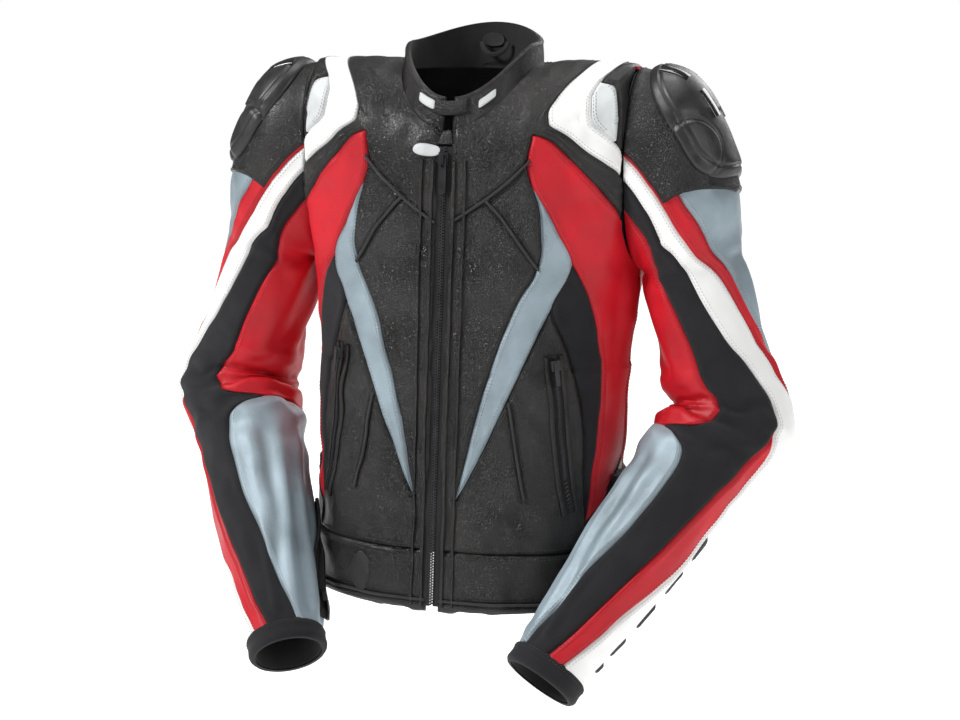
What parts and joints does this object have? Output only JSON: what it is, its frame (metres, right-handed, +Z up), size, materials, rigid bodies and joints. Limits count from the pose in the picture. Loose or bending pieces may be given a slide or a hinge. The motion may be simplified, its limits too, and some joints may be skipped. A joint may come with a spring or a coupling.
{
  "type": "riding jacket",
  "caption": "Leather riding jacket with stand collar, front zip, moulded shoulder cups, striped pre-curved sleeves, stretch panels and zipped cuffs.",
  "frame": {"origin": "centre of the neck base, where a hanger or a wearer's neck holds the jacket", "axes": "+Z up along the wearer's spine, front towards -Y, wearer's left towards +X"},
  "size_m": [0.716, 0.3555, 0.7033],
  "materials": {
    "leather_black": "fine grain, satin",
    "leather_red": "smooth full grain, satin",
    "leather_white": "smooth full grain, satin",
    "leather_silver": "metallic coated, satin",
    "stretch_black": "ribbed stretch weave, matt",
    "leather_patch": "embossed, satin",
    "lining": "mesh, matt",
    "foam": "moulded foam, matt",
    "webbing": "woven tape",
    "zip_metal": "dark nickel",
    "zip_tape": "woven tape",
    "armour_black": "moulded, satin with leather grain",
    "gloss_black": "gloss",
    "rubber_black": "satin"
  },
  "bodies": {
    "torso": {"front_panels": "leather_black", "flash_panels": "leather_silver", "chest_panels": "leather_red", "stretch_side_panels": "stretch_black", "shoulder_stripes": "leather_white", "back_yoke": "leather_black", "back_panel": "leather_black", "waistband": "leather_black", "waist_patch": "leather_patch", "lining": "lining", "back_protector": "foam", "collar_shell": "leather_black", "collar_lining": "lining", "neck_patch": "leather_patch", "hang_loop": "webbing", "zip_teeth": "zip_metal", "zip_tapes": "zip_tape", "pocket_zips": "zip_metal"},
    "zip_slider": {"zip_slider": "zip_metal"},
    "zip_puller": {"zip_puller": "zip_metal"},
    "pocket_slider_left": {"pocket_slider_left": "zip_metal"},
    "pocket_slider_right": {"pocket_slider_right": "zip_metal"},
    "collar_tab": {"collar_tab": "leather_black"},
    "waist_adjuster_left": {"waist_adjuster_left": "webbing"},
    "waist_adjuster_right": {"waist_adjuster_right": "webbing"},
    "upper_sleeve_left": {"upper_sleeve_silver_left": "leather_silver", "upper_sleeve_red_left": "leather_red", "upper_sleeve_white_left": "leather_white", "upper_sleeve_stretch_left": "stretch_black", "shoulder_cup_left": "armour_black", "cup_boss_and_vents_left": "gloss_black", "shoulder_protector_left": "foam"},
    "forearm_left": {"forearm_white_left": "leather_white", "forearm_red_left": "leather_red", "forearm_stretch_left": "stretch_black", "forearm_silver_left": "leather_silver", "cuff_band_left": "leather_black", "elbow_protector_left": "foam", "elbow_gusset_left": "leather_silver", "forearm_slider_bars_left": "rubber_black", "cuff_zip_left": "zip_metal"},
    "cuff_slider_left": {"cuff_slider_left": "zip_metal"},
    "upper_sleeve_right": {"upper_sleeve_silver_right": "leather_silver", "upper_sleeve_red_right": "leather_red", "upper_sleeve_white_right": "leather_white", "upper_sleeve_stretch_right": "stretch_black", "shoulder_cup_right": "armour_black", "cup_boss_and_vents_right": "gloss_black", "shoulder_protector_right": "foam"},
    "forearm_right": {"forearm_white_right": "leather_white", "forearm_red_right": "leather_red", "forearm_stretch_right": "stretch_black", "forearm_silver_right": "leather_silver", "cuff_band_right": "leather_black", "elbow_protector_right": "foam", "elbow_gusset_right": "leather_silver", "forearm_slider_bars_right": "rubber_black", "cuff_zip_right": "zip_metal"},
    "cuff_slider_right": {"cuff_slider_right": "zip_metal"}
  },
  "joints": [
    {"name": "zip_slide", "type": "slide", "parent": "torso", "child": "zip_slider", "axis": [0, -0.0902, -0.9959], "range_m": [0, 0.47]},
    {"name": "puller_flip", "type": "hinge", "parent": "zip_slider", "child": "zip_puller", "pos_m": [0, -0.10027, -0.04175], "axis": [-1, 0, 0], "range_deg": [0, 120]},
    {"name": "shoulder_left", "type": "hinge", "parent": "torso", "child": "upper_sleeve_left", "pos_m": [0.187, 0.01, -0.045], "axis": [-1, 0, 0], "range_deg": [0, 22]},
    {"name": "elbow_left", "type": "hinge", "parent": "upper_sleeve_left", "child": "forearm_left", "pos_m": [0.292, 0.005, -0.322], "axis": [-0.8816, 0.4613, -0.1001], "range_deg": [-15, 17]},
    {"name": "pocket_zip_slide_left", "type": "slide", "parent": "torso", "child": "pocket_slider_left", "axis": [0.1059, 0.0294, -0.9939], "range_m": [0, 0.14]},
    {"name": "cuff_zip_slide_left", "type": "slide", "parent": "forearm_left", "child": "cuff_slider_left", "axis": [0.3447, 0.6, 0.722], "range_m": [0, 0.11]},
    {"name": "waist_adjuster_lift_left", "type": "hinge", "parent": "torso", "child": "waist_adjuster_left", "pos_m": [0.1759, -0.035, -0.4], "axis": [0, 0, -1], "range_deg": [0, 45]},
    {"name": "shoulder_right", "type": "hinge", "parent": "torso", "child": "upper_sleeve_right", "pos_m": [-0.187, 0.01, -0.045], "axis": [-1, 0, 0], "range_deg": [0, 22]},
    {"name": "elbow_right", "type": "hinge", "parent": "upper_sleeve_right", "child": "forearm_right", "pos_m": [-0.292, 0.005, -0.322], "axis": [-0.8816, -0.4613, 0.1001], "range_deg": [-15, 17]},
    {"name": "pocket_zip_slide_right", "type": "slide", "parent": "torso", "child": "pocket_slider_right", "axis": [-0.1059, 0.0294, -0.9939], "range_m": [0, 0.14]},
    {"name": "cuff_zip_slide_right", "type": "slide", "parent": "forearm_right", "child": "cuff_slider_right", "axis": [-0.3447, 0.6, 0.722], "range_m": [0, 0.11]},
    {"name": "waist_adjuster_lift_right", "type": "hinge", "parent": "torso", "child": "waist_adjuster_right", "pos_m": [-0.1759, -0.035, -0.4], "axis": [0, 0, 1], "range_deg": [0, 45]},
    {"name": "collar_tab_open", "type": "hinge", "parent": "torso", "child": "collar_tab", "pos_m": [-0.04, -0.084, 0.018], "axis": [0, -0.1961, -0.9806], "range_deg": [0, 110]}
  ]
}
